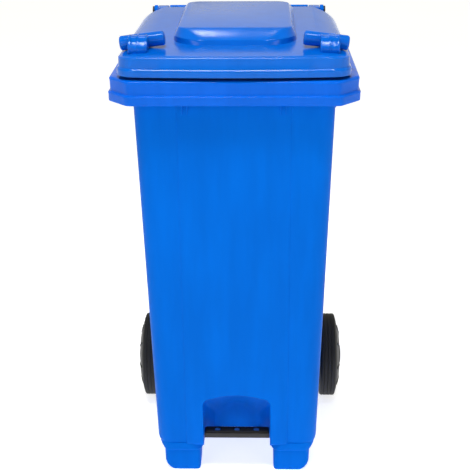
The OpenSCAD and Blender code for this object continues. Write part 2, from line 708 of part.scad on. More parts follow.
module lid_bracket() {
    under = -lid_wall - seat_gap;
    y0 = bracket_y0;
    y1 = bracket_y1;
    color([0.1, 0.1, 0.1]) difference() {
        union() {
            along_x(-32, 32) polygon([[y0, lid_top(y0) + under], [y0, lid_top(y0) + under - bracket_t],
                [y1, lid_top(y1) + under - bracket_t], [y1, lid_top(y1) + under]]);
            both_sides() along_x(ear_in, ear_in + bracket_t) {
                hull() {
                    translate(slot_at(slot_near)) circle(slot_hw + 3.5);
                    translate(slot_at(slot_far)) circle(slot_hw + 3.5);
                    translate([y0 + 8, lid_top(y0 + 8) + under - bracket_t]) square([30, 1]);
                }
            }
        }
        along_x(-40, 40) hull() {
            translate(slot_at(slot_near)) circle(slot_hw);
            translate(slot_at(slot_far)) circle(slot_hw);
        }
        for (p = bracket_holes) translate([p.x, p.y, ledge_z]) cylinder(r = screw_d / 2 + run, h = 80);
    }
}

module bracket_screws() {
    color("silver") for (p = bracket_holes) translate([p.x, p.y, lid_top(p.y) - lid_wall - bracket_t]) {
        translate([0, 0, -3.5]) cylinder(r = screw_d, h = 3);
        translate([0, 0, -0.5]) cylinder(r = screw_d / 2, h = bracket_t + screw_grip);
    }
}

buffer_x = lid_hw - 3;
buffer_ys = [front_y + 140, front_y + 400];
buffer_stem_r = 3;
module lid_buffers() {   // rubber stops that the lid's lip rests on
    color([0.1, 0.1, 0.1]) both_sides() for (y = buffer_ys) translate([buffer_x, y, rim_z]) {
        cylinder(r = 7, h = lid_gap - rest_gap);
        translate([0, 0, -wall]) cylinder(r = buffer_stem_r, h = wall);
    }
}

body();
lid();
hinge_pins();
axle();
axle_washers();
axle_clips();
wheel_left();
wheel_right();
tyre_left();
tyre_right();
hub_cap_left();
hub_cap_right();
pedal_tread();
pedal_pad();
pedal_bolts();
pedal_lever();
pivot_pin();
pivot_clips();
push_rod();
rod_foot();
rod_pin();
rod_guide();
guide_screws();
lid_bracket();
bracket_screws();
lid_buffers();
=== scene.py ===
import bmesh
import bpy
import math
from mathutils import Matrix, Vector


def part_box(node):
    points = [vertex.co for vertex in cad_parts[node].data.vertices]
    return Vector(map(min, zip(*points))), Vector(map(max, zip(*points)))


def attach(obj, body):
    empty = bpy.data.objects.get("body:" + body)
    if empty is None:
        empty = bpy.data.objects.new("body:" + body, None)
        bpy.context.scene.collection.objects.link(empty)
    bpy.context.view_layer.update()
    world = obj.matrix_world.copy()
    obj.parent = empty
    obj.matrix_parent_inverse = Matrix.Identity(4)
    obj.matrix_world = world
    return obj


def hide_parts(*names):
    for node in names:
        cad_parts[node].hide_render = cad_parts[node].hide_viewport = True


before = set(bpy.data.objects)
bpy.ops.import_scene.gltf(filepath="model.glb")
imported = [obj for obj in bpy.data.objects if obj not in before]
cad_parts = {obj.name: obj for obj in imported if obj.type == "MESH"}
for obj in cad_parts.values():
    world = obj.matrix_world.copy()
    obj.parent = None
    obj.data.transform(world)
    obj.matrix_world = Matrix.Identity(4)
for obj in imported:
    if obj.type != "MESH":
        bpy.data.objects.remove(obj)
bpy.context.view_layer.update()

# Lengths are in millimetres and become metres when a mesh is made.
mm = 0.001
print("frame loaded:", len(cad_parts), "nodes")


def corners(node):
    low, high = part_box(node)
    return low / mm, high / mm


def middle(node):
    low, high = corners(node)
    return (low + high) / 2


tubLow, tubHigh = corners("body")
lidLow = corners("lid")[0]
wheelLow, wheelHigh = corners("tyre_right")
capHigh = corners("hub_cap_right")[1]

rimHalf = tubHigh.x
frontY = tubLow.y
rimTop = lidLow.z - 6   # the lid's lip hangs 6 mm above the rim
hingeY, hingeZ = middle("hinge_pins").yz
axleY, axleZ = middle("tyre_right").yz
tyreR = (wheelHigh.z - wheelLow.z) / 2


def deselectAll():
    if bpy.context.mode != "OBJECT":
        bpy.ops.object.mode_set(mode="OBJECT")
    bpy.ops.object.select_all(action="DESELECT")


def workOn(piece):
    deselectAll()
    piece.select_set(True)
    bpy.context.view_layer.objects.active = piece


def pick(piece, kind, test):
    # opens the piece in edit mode with the faces or edges that pass the test selected
    workOn(piece)
    bpy.ops.object.mode_set(mode="EDIT")
    bpy.ops.mesh.select_mode(type=kind)
    bpy.ops.mesh.select_all(action="DESELECT")
    shape = bmesh.from_edit_mesh(piece.data)
    parts = shape.faces if kind == "FACE" else shape.edges
    for part in parts:
        if kind == "FACE":
            where = part.calc_center_median()
        else:
            where = (part.verts[0].co + part.verts[1].co) / 2
        part.select_set(test(where / mm, part))
    bmesh.update_edit_mesh(piece.data)


def leaveEdit():
    bpy.ops.object.mode_set(mode="OBJECT")


def applied(piece, kind, **settings):
    workOn(piece)
    modifier = piece.modifiers.new(kind.title(), kind)
    for key, value in settings.items():
        setattr(modifier, key, value)
    bpy.ops.object.modifier_apply(modifier=modifier.name)
    return piece


def rounded(piece, width, segments=2, angle=32):
    return applied(piece, "BEVEL", width=width * mm, segments=segments, limit_method="ANGLE",
                   angle_limit=math.radians(angle), harden_normals=False, use_clamp_overlap=True)


def settled(piece):
    workOn(piece)
    bpy.ops.object.transform_apply(location=True, rotation=True, scale=True)
    return piece


def joined(name, pieces):
    deselectAll()
    for piece in pieces:
        piece.select_set(True)
    bpy.context.view_layer.objects.active = pieces[0]
    bpy.ops.object.join()
    pieces[0].name = name
    return pieces[0]


def bored(piece, cutter):
    applied(piece, "BOOLEAN", operation="DIFFERENCE", object=cutter, solver="EXACT")
    bpy.data.objects.remove(cutter)
    return piece


def outward(piece):
    workOn(piece)
    bpy.ops.object.mode_set(mode="EDIT")
    bpy.ops.mesh.select_all(action="SELECT")
    bpy.ops.mesh.remove_doubles(threshold=0.01 * mm)
    bpy.ops.mesh.normals_make_consistent(inside=False)
    leaveEdit()
    return piece


def smooth(piece, angle=30):
    workOn(piece)
    bpy.ops.object.shade_smooth_by_angle(angle=math.radians(angle))
    return piece


def skin(name, rings, capFirst=True, capLast=True, closed=False):
    # a surface through rings of points, each ring as long as the others
    count = len(rings[0])
    total = len(rings) * count
    points = [[c * mm for c in p] for ring in rings for p in ring]
    faces = []
    for i in range(len(rings) - (0 if closed else 1)):
        for j in range(count):
            k = (j + 1) % count
            faces.append((i * count + j, i * count + k,
                          ((i + 1) * count + k) % total, ((i + 1) * count + j) % total))
    if capFirst and not closed:
        faces.append(tuple(reversed(range(count))))
    if capLast and not closed:
        faces.append(tuple(range(total - count, total)))
    mesh = bpy.data.meshes.new(name)
    mesh.from_pydata(points, [], faces)
    mesh.update()
    piece = bpy.data.objects.new(name, mesh)
    bpy.context.scene.collection.objects.link(piece)
    return piece


def block(name, low, high):
    size = [high[i] - low[i] for i in range(3)]
    middle = [(high[i] + low[i]) / 2 * mm for i in range(3)]
    deselectAll()
    bpy.ops.mesh.primitive_cube_add(size=1, location=middle)
    piece = bpy.context.object
    piece.name = name
    piece.scale = [s * mm for s in size]
    return settled(piece)


def bar(name, radius, start, end, sides=48):
    # a round bar from start to end
    a, b = Vector(start) * mm, Vector(end) * mm
    deselectAll()
    bpy.ops.mesh.primitive_cylinder_add(vertices=sides, radius=radius * mm, depth=(b - a).length,
                                        location=(a + b) / 2)
    piece = bpy.context.object
    piece.name = name
    piece.rotation_mode = "QUATERNION"
    piece.rotation_quaternion = (b - a).to_track_quat("Z", "Y")
    return settled(piece)


def slab(name, outline, x0, x1):
    # a Y-Z outline, made solid from x0 to x1
    return outward(skin(name, [[(x, y, z) for y, z in outline] for x in (x0, x1)]))


def arcPoints(y, z, radius, first, last, step):
    # an arc in the Y-Z plane, with its angles in degrees from +Y towards +Z
    return [(y + radius * math.cos(math.radians(a)), z + radius * math.sin(math.radians(a)))
            for a in range(first, last + 1, step)]


def turned(name, profile, centre, sides=96):
    # a closed radius-X profile, turned round a line along X
    angles = [2 * math.pi * i / sides for i in range(sides)]
    cy, cz = centre[1:]
    rings = [[(x, cy + r * math.cos(a), cz + r * math.sin(a)) for a in angles] for r, x in profile]
    return outward(skin(name, rings, closed=True))


def mirrored(piece, name):
    other = bpy.data.objects.new(name, piece.data.copy())
    bpy.context.scene.collection.objects.link(other)
    other.data.transform(Matrix.Scale(-1, 4, Vector((1, 0, 0))))
    return outward(other)


def mix(a, b, t):
    return a + (b - a) * t


def roundRect(halfW, y0, y1, rFront, rBack, steps=10, frontPoints=()):
    # outline of a rectangle with round corners, anticlockwise seen from above
    points = []
    for corner in range(4):
        r = rBack if corner < 2 else rFront
        cx = halfW - r if corner in (0, 3) else r - halfW
        cy = y1 - r if corner < 2 else y0 + r
        if corner == 3:
            points += list(frontPoints)
        for i in range(steps + 1):
            a = math.radians(90 * corner + 90 * i / steps)
            points.append((cx + r * math.cos(a), cy + r * math.sin(a)))
    return points


def atZ(points, z):
    return [(p[0], p[1], z) for p in points]


def colour(hexCode):
    parts = [int(hexCode[i:i + 2], 16) / 255 for i in (1, 3, 5)]
    return tuple(p / 12.92 if p <= 0.04045 else ((p + 0.055) / 1.055) ** 2.4 for p in parts) + (1.0,)


def addNode(tree, kind, inputs=None, **settings):
    node = tree.nodes.new("ShaderNode" + kind)
    for key, value in settings.items():
        setattr(node, key, value)
    for key, value in (inputs or {}).items():
        if isinstance(value, bpy.types.NodeSocket):
            tree.links.new(value, node.inputs[key])
        else:
            node.inputs[key].default_value = value
    return node


def emptyMaterial(name):
    material = bpy.data.materials.new(name)
    material.use_nodes = True
    tree = material.node_tree
    tree.nodes.clear()
    place = addNode(tree, "TexCoord").outputs["Object"]
    return material, tree, place


def twoTones(tree, factor, first, second, low=0.35, high=0.65):
    ramp = addNode(tree, "ValToRGB", {"Fac": factor})
    ramp.color_ramp.elements[0].position = low
    ramp.color_ramp.elements[0].color = colour(first)
    ramp.color_ramp.elements[1].position = high
    ramp.color_ramp.elements[1].color = colour(second)
    return ramp.outputs["Color"]


def perMm(size):
    # noise scale that gives features of this size in millimetres
    return 1 / (size * mm)


def mouldedHdpe(name, main, deep, roughness, shine, waveMm):
    # Injection-moulded high-density polyethylene: waxy, dyed through, with a faint waviness from
    # the mould, flow streaks down the walls and a fine scuffing that varies the gloss.
    material, tree, place = emptyMaterial(name)
    cloud = addNode(tree, "TexNoise", {"Vector": place, "Scale": perMm(300), "Detail": 2.0})
    streaks = addNode(tree, "Mapping", {"Vector": place, "Scale": (1.0, 1.0, 0.12)})
    flow = addNode(tree, "TexNoise", {
        "Vector": streaks.outputs["Vector"], "Scale": perMm(26), "Detail": 3.0})
    wave = addNode(tree, "TexNoise", {"Vector": place, "Scale": perMm(24), "Detail": 2.0, "Roughness": 0.4})
    scuff = addNode(tree, "TexNoise", {"Vector": place, "Scale": perMm(7), "Detail": 6.0, "Roughness": 0.7})
    tint = addNode(tree, "Math", {0: cloud.outputs["Fac"], 1: flow.outputs["Fac"]}, operation="ADD")
    half = addNode(tree, "Math", {0: tint.outputs["Value"], 1: 0.5}, operation="MULTIPLY")
    gloss = addNode(tree, "MapRange", {"Value": scuff.outputs["Fac"], "From Min": 0.35, "From Max": 0.75,
                                       "To Min": roughness - 0.03, "To Max": roughness + 0.07})
    bump = addNode(tree, "Bump", {
        "Height": wave.outputs["Fac"], "Strength": 1.0, "Distance": waveMm * mm})
    shader = addNode(tree, "BsdfPrincipled", {
        "Base Color": twoTones(tree, half.outputs["Value"], deep, main, 0.38, 0.6),
        "Roughness": gloss.outputs["Result"], "IOR": 1.54, "Specular IOR Level": shine,
        "Normal": bump.outputs["Normal"]})
    addNode(tree, "OutputMaterial", {"Surface": shader.outputs["BSDF"]})
    return material


def blackPolymer(name, main, worn, roughness, grainMm):
    # Moulded black polypropylene or solid rubber: carbon-black, low gloss, finely textured.
    material, tree, place = emptyMaterial(name)
    dust = addNode(tree, "TexNoise", {
        "Vector": place, "Scale": perMm(14), "Detail": 5.0, "Roughness": 0.65})
    grain = addNode(tree, "TexNoise", {"Vector": place, "Scale": perMm(grainMm), "Detail": 2.0})
    gloss = addNode(tree, "MapRange", {
        "Value": dust.outputs["Fac"], "To Min": roughness - 0.08, "To Max": roughness + 0.1})
    bump = addNode(tree, "Bump", {"Height": grain.outputs["Fac"], "Strength": 0.4, "Distance": 0.12 * mm})
    shader = addNode(tree, "BsdfPrincipled", {
        "Base Color": twoTones(tree, dust.outputs["Fac"], main, worn, 0.5, 0.8),
        "Roughness": gloss.outputs["Result"], "IOR": 1.5, "Normal": bump.outputs["Normal"]})
    addNode(tree, "OutputMaterial", {"Surface": shader.outputs["BSDF"]})
    return material


def platedSteel(name, main, dull, roughness):
    # Bright zinc on drawn steel: fine lines along the bar and slightly cloudy patches.
    material, tree, place = emptyMaterial(name)
    stretch = addNode(tree, "Mapping", {"Vector": place, "Scale": (0.08, 1.0, 1.0)})
    lines = addNode(tree, "TexNoise", {
        "Vector": stretch.outputs["Vector"], "Scale": perMm(0.9), "Detail": 3.0})
    cloud = addNode(tree, "TexNoise", {"Vector": place, "Scale": perMm(12), "Detail": 3.0})
    gloss = addNode(tree, "MapRange", {
        "Value": lines.outputs["Fac"], "To Min": roughness - 0.08, "To Max": roughness + 0.14})
    bump = addNode(tree, "Bump", {"Height": lines.outputs["Fac"], "Strength": 0.2, "Distance": 0.03 * mm})
    shader = addNode(tree, "BsdfPrincipled", {
        "Base Color": twoTones(tree, cloud.outputs["Fac"], dull, main), "Metallic": 1.0,
        "Roughness": gloss.outputs["Result"], "Normal": bump.outputs["Normal"]})
    addNode(tree, "OutputMaterial", {"Surface": shader.outputs["BSDF"]})
    return material


tubPlastic = mouldedHdpe("Moulded HDPE, signal blue, matt tub walls", "#0069D8", "#0063CE", 0.4, 0.02, 0.25)
rimPlastic = mouldedHdpe("Moulded HDPE, signal blue, polished rim", "#0064DC", "#005ED2", 0.16, 0.1, 0.8)
lidPlastic = mouldedHdpe("Moulded HDPE, signal blue, glossy lid", "#0065CE", "#005FC4", 0.16, 0.2, 0.1)
blackPlastic = blackPolymer("Moulded polypropylene, black", "#111113", "#1C1C1F", 0.42, 0.8)
tyreRubber = blackPolymer("Moulded solid rubber, black", "#0C0C0D", "#19191A", 0.66, 0.5)
softRubber = blackPolymer("Pressed rubber pad, black", "#0B0B0C", "#151516", 0.74, 0.4)
blackSteel = blackPolymer("Powder-coated steel, black", "#101012", "#1A1A1C", 0.36, 0.3)
zincSteel = platedSteel("Zinc-plated drawn steel", "#C9CCD0", "#A9ADB2", 0.3)
print("materials made")


def placed(piece, name, body, material, nodes=(), angle=30):
    piece.name = name
    piece.data.materials.clear()
    piece.data.materials.append(material)
    smooth(piece, angle)
    settled(piece)
    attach(piece, body)
    for node in nodes:
        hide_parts(node)
    return piece


tub = {
    "wall": 4, "baseZ": 60, "topHalf": rimHalf - 46, "baseHalf": 172, "frontTop": frontY + 25,
    "frontLean": 55, "backTop": hingeY - 35, "backLean": 17, "corner": 36,
    "panelHalf": 108, "panelOut": 2.5, "rimH": 47, "chamferX": 39, "chamferY": 47, "ridgeOut": 2,
    "toeHalf": 71.5, "toeTop": 189, "toeRise": 9, "toeCorner": 18, "toeDepth": 84, "toeStraight": 34,
    "toeBackTop": 123, "toeBackHalf": 48, "toeBackRise": 22, "toeBackCorner": 12, "toeBackRound": 7,
    "footIn": 79, "footWide": 78, "footLong": 74,
    "webX": (88.5, 98.5), "webT": 2, "webDrop": 36, "sideWebT": 4,
    "knuckleX": 170, "knuckleW": 24, "knuckleGap": 1.5, "lugT": 8, "lugR": 11.5,
    "earX": (62, 150), "earR": 22, "earT": 12, "pivotX": 35, "pivotT": 6, "pivotR": 11,
    "bossX": 24, "bossR": 8, "flangeT": 5, "rodHoleR": 5.5,
}
rimLow = rimTop - tub["rimH"]
recessZ = axleZ + 65    # where the wheel recess starts to lean back
roofZ = recessZ + 50    # where it meets the back wall


def fall(z):
    return max(0, (rimLow - z) / (rimLow - tub["baseZ"]))


def wallFront(z):
    return tub["frontTop"] + tub["frontLean"] * fall(z)


def wallSide(z):
    return mix(tub["topHalf"], tub["baseHalf"], fall(z))


def wallBack(z):
    upper = tub["backTop"] - tub["backLean"] * max(0, (rimLow - z) / (rimLow - roofZ))
    if z >= roofZ:
        return upper
    if z >= recessZ:
        return mix(axleY - 45, tub["backTop"] - tub["backLean"], (z - recessZ) / (roofZ - recessZ))
    return mix(axleY - 60, axleY - 45, (z - tub["baseZ"]) / (recessZ - tub["baseZ"]))


def tubRing(z, inset=0, lift=0, panel=True):
    # the front carries a raised panel with softly rounded edges
    front = wallFront(z) + inset
    out = tub["panelOut"] if panel else 0
    edge = [(3.6, 0), (2.2, 0.12), (0.9, 0.5), (-0.5, 0.88), (-2, 1)]
    left = [(-tub["panelHalf"] - e, front - out * share) for e, share in edge]
    right = [(-x, y) for x, y in reversed(left)]
    outline = roundRect(wallSide(z) - inset, front, wallBack(z) - inset, tub["corner"] - inset,
                        tub["corner"] - inset, 12, left + right)
    return atZ(outline, z + lift)


def arch(half, low, top, rise, r):
    # outline of the toe recess's mouth, from lower left over the top to lower right
    angles = [math.radians(15 * i) for i in range(7)]
    side = [(r - half - r * math.cos(a), top - rise - r + r * math.sin(a)) for a in angles]
    shares = [i / 6 - 1 for i in range(1, 12)]
    crown = [(share * (half - r), top - rise * share ** 2) for share in shares]
    return [(-half, low)] + side + crown + [(-x, z) for x, z in reversed(side)] + [(half, low)]


def toeRing(grow, depth, low):
    # the recess runs straight back past the pedal, then closes in to a rounded back
    straight, deep = tub["toeStraight"], tub["toeDepth"]
    t = min(max((depth - straight) / (deep - straight), 0), 1)
    lean = min(max(depth / straight, 0), 1) * 0.3
    half = mix(tub["toeHalf"], tub["toeBackHalf"], t ** 1.15)
    top = mix(tub["toeTop"], tub["toeBackTop"], lean + 0.7 * t ** 1.1)
    rise = mix(tub["toeRise"], tub["toeBackRise"], t)
    corner = max(mix(tub["toeCorner"], tub["toeBackCorner"], t) + grow, 2)
    last = tub["toeBackRound"]
    inward = last * max(0, (depth - deep + last) / last) ** 2
    points = arch(half + grow - inward, low, top + grow - inward, rise, corner)
    return [(x, mix(wallFront(z), wallFront(tub["baseZ"]), t) + depth, z) for x, z in points]


def toeLining():
    # a hair larger than the hole cut for it, so that no two faces lie in one plane
    hair = 0.15
    depths = [3.5, 12, 20, 28, 34, 40, 46, 52, 58, 64, 69, 74, 77, 80, 82, 83.4, 84]
    rings = [toeRing(hair, depth + hair, tub["baseZ"]) for depth in depths]
    lining = skin("toeLining", rings, capFirst=False)
    pick(lining, "FACE", lambda where, face: where.z < tub["baseZ"] + 0.5 and abs(face.normal.z) > 0.9)
    bpy.ops.mesh.delete(type="FACE")
    leaveEdit()
    applied(lining, "SOLIDIFY", thickness=tub["wall"] * mm, offset=1)
    return outward(lining)


def tubShell():
    base, w = tub["baseZ"], tub["wall"]
    outer = [tubRing(base, 9), tubRing(base + 2, 5), tubRing(base + 6, 1.5)]
    outer += [tubRing(z) for z in (base + 13, recessZ, roofZ, rimLow, rimTop)]
    inner = [tubRing(rimTop, w, panel=False), tubRing(rimLow, w, panel=False),
             tubRing(roofZ, w, w, panel=False), tubRing(recessZ, w, w, panel=False),
             tubRing(base, w + 2, w, panel=False)]
    shell = outward(skin("tubShell", outer + inner))
    # the mouth's edge is rounded: the cutter flares over the last few millimetres
    flares = [(-30, 3.4), (-3.6, 3.4), (-2.9, 2.0), (-2.0, 1.0), (-0.8, 0.35), (1, 0)]
    rings = []
    for depth, grow in flares:
        mouth = arch(tub["toeHalf"] + grow, base - 20, tub["toeTop"] + grow,
                     tub["toeRise"], tub["toeCorner"] + grow)
        rings.append([(x, wallFront(z) + depth, z) for x, z in mouth])
    rings += [toeRing(0, depth, base - 20) for depth in (12, 20, 28, 34, 46, 58, 69, 77, 82, 84)]
    bored(shell, outward(skin("toeMouth", rings)))
    return [shell, toeLining()]


def rimOutline(grow, steps=4):
    # plan of the rim: a rectangle with its front corners cut off, softened where the sides meet
    w, f, b = rimHalf + grow, frontY - grow, tub["backTop"] + 19.6 + grow
    sharp = [(w, b - 12), (w - 40, b), (40 - w, b), (-w, b - 12), (-w, f + tub["chamferY"]),
             (tub["chamferX"] - w, f), (w - tub["chamferX"], f), (w, f + tub["chamferY"])]
    points = []
    radius = 7
    for i, p in enumerate(sharp):
        here = Vector(p)
        before = (Vector(sharp[i - 1]) - here).normalized()
        after = (Vector(sharp[(i + 1) % 8]) - here).normalized()
        for s in range(steps + 1):
            t = s / steps
            q = here + radius * (before * (1 - t) ** 2 + after * t ** 2)
            points.append((q.x, q.y))
    return points


def rimHole(grow, z, lap):
    # the flange's inner edge, which laps the tub's wall; each point faces one of the rim's outline
    half = tub["topHalf"] - lap
    shrink = half / (rimHalf - tub["ridgeOut"] - 15)
    hole = []
    for x, y in rimOutline(grow):
        hx = max(-half, min(half, x * shrink))
        if abs(abs(x) - rimHalf) > 60 and abs(x) < half:
            hx = x
        hy = max(tub["frontTop"] + lap, min(tub["backTop"] - lap, y))
        hole.append((hx, hy, z))
    return hole


def rimShell():
    # from the inside of the flange's underside, round the outside, to its top inner edge
    mid = rimLow + tub["rimH"] * 0.4
    g = -tub["ridgeOut"]
    thick = tub["flangeT"]
    profile = [(-5, rimLow + 3), (-4.4, rimLow + 0.5), (-3, rimLow), (-1, rimLow + 0.2),
               (-0.2, rimLow + 1.2), (0, rimLow + 3), (0, mid - 5), (0.4, mid - 3.4), (0.4, mid - 2),
               (-0.2, mid - 0.9), (-1.4, mid), (g - 1.2, mid + 0.7), (g - 1.6, mid + 2), (g - 1.4, mid + 4),
               (g - 0.9, rimTop - 9), (g - 0.4, rimTop - 6), (g - 0.2, rimTop - 4.4), (g - 0.7, rimTop - 2.8),
               (g - 1.8, rimTop - 1.3), (g - 3.4, rimTop - 0.4), (g - 5, rimTop)]
    rings = [rimHole(g - 5, rimTop - thick, 3), atZ(rimOutline(-thick), rimTop - thick)]
    rings += [atZ(rimOutline(grow), z) for grow, z in profile]
    rings.append(rimHole(g - 5, rimTop, 3))
    shell = outward(skin("rimShell", rings, closed=True))
    rodY = middle("push_rod").y
    return bored(shell, bar("rodHole", tub["rodHoleR"], (0, rodY, rimTop - 20), (0, rodY, rimTop + 20), 32))


def webs():
    # thin ribs that tie the rim's flange to the wall: two pairs in front, three on each side
    pieces = []
    z0, under = rimLow - tub["webDrop"], rimTop - 3
    half, side = tub["webT"] / 2, tub["sideWebT"] / 2
    for x in [sign * place for sign in (-1, 1) for place in tub["webX"]]:
        outline = [(tub["frontTop"] + 2, under), (frontY + 8, under), (frontY + 8, rimLow + 2),
                   (tub["frontTop"] - 9, rimLow), (wallFront(z0) + 1, z0)]
        pieces.append(slab("web", outline, x - half, x + half))
    for sign in (-1, 1):
        for y in (frontY + 100, 0, tub["backTop"] - 60):
            outline = [(tub["topHalf"] - 2, under), (rimHalf - 8, under), (rimHalf - 12, rimLow + 1),
                       (rimHalf - 14, rimLow - 14), (tub["topHalf"] + 6, rimLow - 20), (wallSide(z0) - 2, z0)]
            rings = [[(sign * x, y + dy, z) for x, z in outline] for dy in (-side, side)]
            pieces.append(outward(skin("sideWeb", rings)))
    return [rounded(piece, 0.6) for piece in pieces]


def feet():
    # each foot grows from a small sole, flares under the tub and runs up into its corner
    x0, x1 = tub["footIn"], tub["footIn"] + tub["footWide"]
    y0 = wallFront(tub["baseZ"]) + 1.5
    y1 = y0 + tub["footLong"]
    # growth of the inner, outer, front and back sides, then height and corner radius
    steps = [(-4, -22, -4, -10, 0, 6), (-1.5, -15, -2, -6, 0.6, 8), (-0.4, -8.6, -1, -4, 5, 9),
             (0, -3.4, -0.5, -3, 12, 10), (0, -0.6, -0.5, -2, 21, 10), (0, 0, -0.5, -1, 34, 11),
             (0, 0.5, -0.5, 0, 48.5, 12), (1.2, 1.5, 0.4, 0, 49.4, 14), (4.5, 4, 2.2, 0, 51, 20),
             (6.6, 8, 3.3, 0, 55, 28), (7, 11, 3.6, 1, 61, 33), (7, 11.5, 2.4, 1, 68, 34)]
    rings = []
    for inner, outer, front, back, z, r in steps:
        low, high = x0 - inner, x1 + outer
        outline = roundRect((high - low) / 2, y0 - front, y1 + back, r, r, 6)
        rings.append([((low + high) / 2 + x, y, z) for x, y in outline])
    foot = outward(skin("foot", rings))
    return [foot, mirrored(foot, "footLeft")]


def hingeLugs():
    # two lugs take each hinge pin, and the handle runs between the inner pair
    gap = tub["knuckleW"] / 2 + tub["knuckleGap"]
    inner, outer = tub["knuckleX"] - gap, tub["knuckleX"] + gap
    r, back = tub["lugR"], tub["backTop"]
    outline = arcPoints(hingeY, hingeZ, r, 0, 180, 12)
    outline += [(hingeY - r, rimTop - 1), (back - 2, rimTop - 1), (back - 2, rimLow), (back + 20, rimLow),
                (hingeY + r, rimTop + 12)]
    pieces = [bar("handle", r, (1 - inner, hingeY, hingeZ), (inner - 1, hingeY, hingeZ), 64)]
    for x0 in (inner - tub["lugT"], outer):
        lug = rounded(slab("hingeLug", outline, x0, x0 + tub["lugT"]), 1.2)
        pieces += [lug, mirrored(lug, "hingeLugLeft")]
    return pieces


def axleEars():
    r, half = tub["earR"], tub["earT"] / 2
    outline = arcPoints(axleY, axleZ, r, -100, 0, 10)
    outline += [(axleY + r, roofZ), (wallBack(roofZ) - 1, roofZ + 4), (axleY - 46, recessZ + 1),
                (axleY - 62, tub["baseZ"] + 2)]
    places = [sign * x for sign in (-1, 1) for x in tub["earX"]]
    return [rounded(slab("axleEar", outline, x - half, x + half), 1.2) for x in places]


def pivotLugs():
    # under the base, for the pedal lever's pin
    y, z = middle("pivot_pin").yz
    half = tub["pivotT"] / 2
    outline = arcPoints(y, z, tub["pivotR"], 180, 360, 15)
    outline += [(y + 18, tub["baseZ"] + 2), (y - 18, tub["baseZ"] + 2)]
    places = (-tub["pivotX"], tub["pivotX"])
    return [rounded(slab("pivotLug", outline, x - half, x + half), 0.8) for x in places]


def guideBosses():
    z, seat = middle("rod_guide").z, corners("rod_guide")[0].y - 0.05
    places = (-tub["bossX"], tub["bossX"])
    return [bar("boss", tub["bossR"], (x, wallBack(z) - 2, z), (x, seat, z), 32) for x in places]


tubParts = tubShell() + webs() + feet() + hingeLugs() + axleEars() + pivotLugs() + guideBosses()
tubPiece = joined("tub", tubParts)
placed(tubPiece, "tub", "tub", tubPlastic, ["body"], 35)
placed(rimShell(), "tubRim", "tub", rimPlastic, ["body"], 50)
print("tub made:", len(tubPiece.data.polygons), "faces")


lid = {
    "wall": 3, "lipH": 16, "frontH": 39, "rise": 18, "bow": 8, "corner": 38, "flare": 3,
    "crownIn": 54, "crownDrop": 37, "notchHalf": 24, "crestW": 220, "crestH": 13, "crestFront": 97,
    "gripD": 28, "gripL": 86, "gripBack": 62, "gripTilt": 7.3, "strapX": 180, "strapW": 36, "ribGap": 15.5,
    "ribT": 3.6, "tail": 120, "knuckleR": 11, "pinHole": 5.3,
}
lipZ = lidLow.z
ledgeZ = lipZ + lid["lipH"]
lidHalf = rimHalf - 19
lidBack = hingeY - 20
crestTop = lipZ + lid["frontH"] + lid["rise"] + lid["crestH"]


def along(y):
    return (y - frontY) / (lidBack - frontY)


def lidTop(y):
    return lipZ + lid["frontH"] + lid["rise"] * along(y)


def lidOutline(dx, df, db, steps=10):
    half, r, y0, y1 = lidHalf - dx, lid["corner"] - dx / 2, frontY + df, lidBack - db
    points = []
    for corner in range(3):
        side = 1 if corner == 0 else -1
        cy = y1 - r if corner < 2 else y0 + lid["bow"] + r
        for i in range(steps + 1):
            a = math.radians(90 * corner + 90 * i / steps)
            points.append((side * (half - r) + r * math.cos(a), cy + r * math.sin(a)))
        if corner == 1:   # extra points down the side keep the faces short
            points += [(-half, mix(y1 - r, y0 + lid["bow"] + r, i / 12)) for i in range(1, 12)]
    for i in range(-11, 12):
        x = (half - r) * i / 12
        points.append((x, y0 + lid["bow"] * (x / (half - r)) ** 2))
    for i in range(steps + 1):
        a = math.radians(270 + 90 * i / steps)
        points.append((half - r + r * math.cos(a), y0 + lid["bow"] + r + r * math.sin(a)))
    points += [(half, mix(y0 + lid["bow"] + r, y1 - r, i / 12)) for i in range(1, 12)]
    return points


def crownRing(angle, inset=0):
    # one ring of the rounded crown: 0 degrees is its foot, 90 degrees its flat top
    c, s = [part(math.radians(angle)) ** 1.25 for part in (math.cos, math.sin)]
    foot = lid["flare"] + 0.8
    dx, drop = foot + lid["crownIn"] * (1 - c), lid["crownDrop"] * (1 - s)
    ring = lidOutline(dx + inset, 1.6 + (dx - foot) * 0.1 + inset, dx * 0.25 + inset)
    low = ledgeZ + 1.2 - inset
    return [(x, y, max(low, lidTop(y) - drop * mix(0.13, 1, along(y)) - inset)) for x, y in ring]


def lidShell():
    w, f = lid["wall"], lid["flare"]
    angles = [0, 8, 16, 24, 32, 41, 50, 60, 70, 80, 90]
    inner = [crownRing(a, w) for a in reversed(angles)]
    hollow = [(f + w, ledgeZ - w), (w, ledgeZ - f - w), (w, lipZ + 0.8), (w - 0.8, lipZ)]
    lip = [(0.8, 0), (0.2, 0.3), (0, 1), (0.3, 9), (0.2, 10.5), (0.5, 12), (1.3, 13.4), (2.4, 14.3),
           (f, 15.2), (f + 0.4, 16.2)]
    edge = hollow + [(d, lipZ + z) for d, z in lip]
    middleRings = [atZ(lidOutline(d, d, d), z) for d, z in edge]
    shell = outward(skin("lidShell", inner + middleRings + [crownRing(a) for a in angles]))
    half = lid["notchHalf"]
    return bored(shell, block("rodNotch", (-half, lidBack - 12, lipZ - 5), (half, lidBack + 20, hingeZ)))


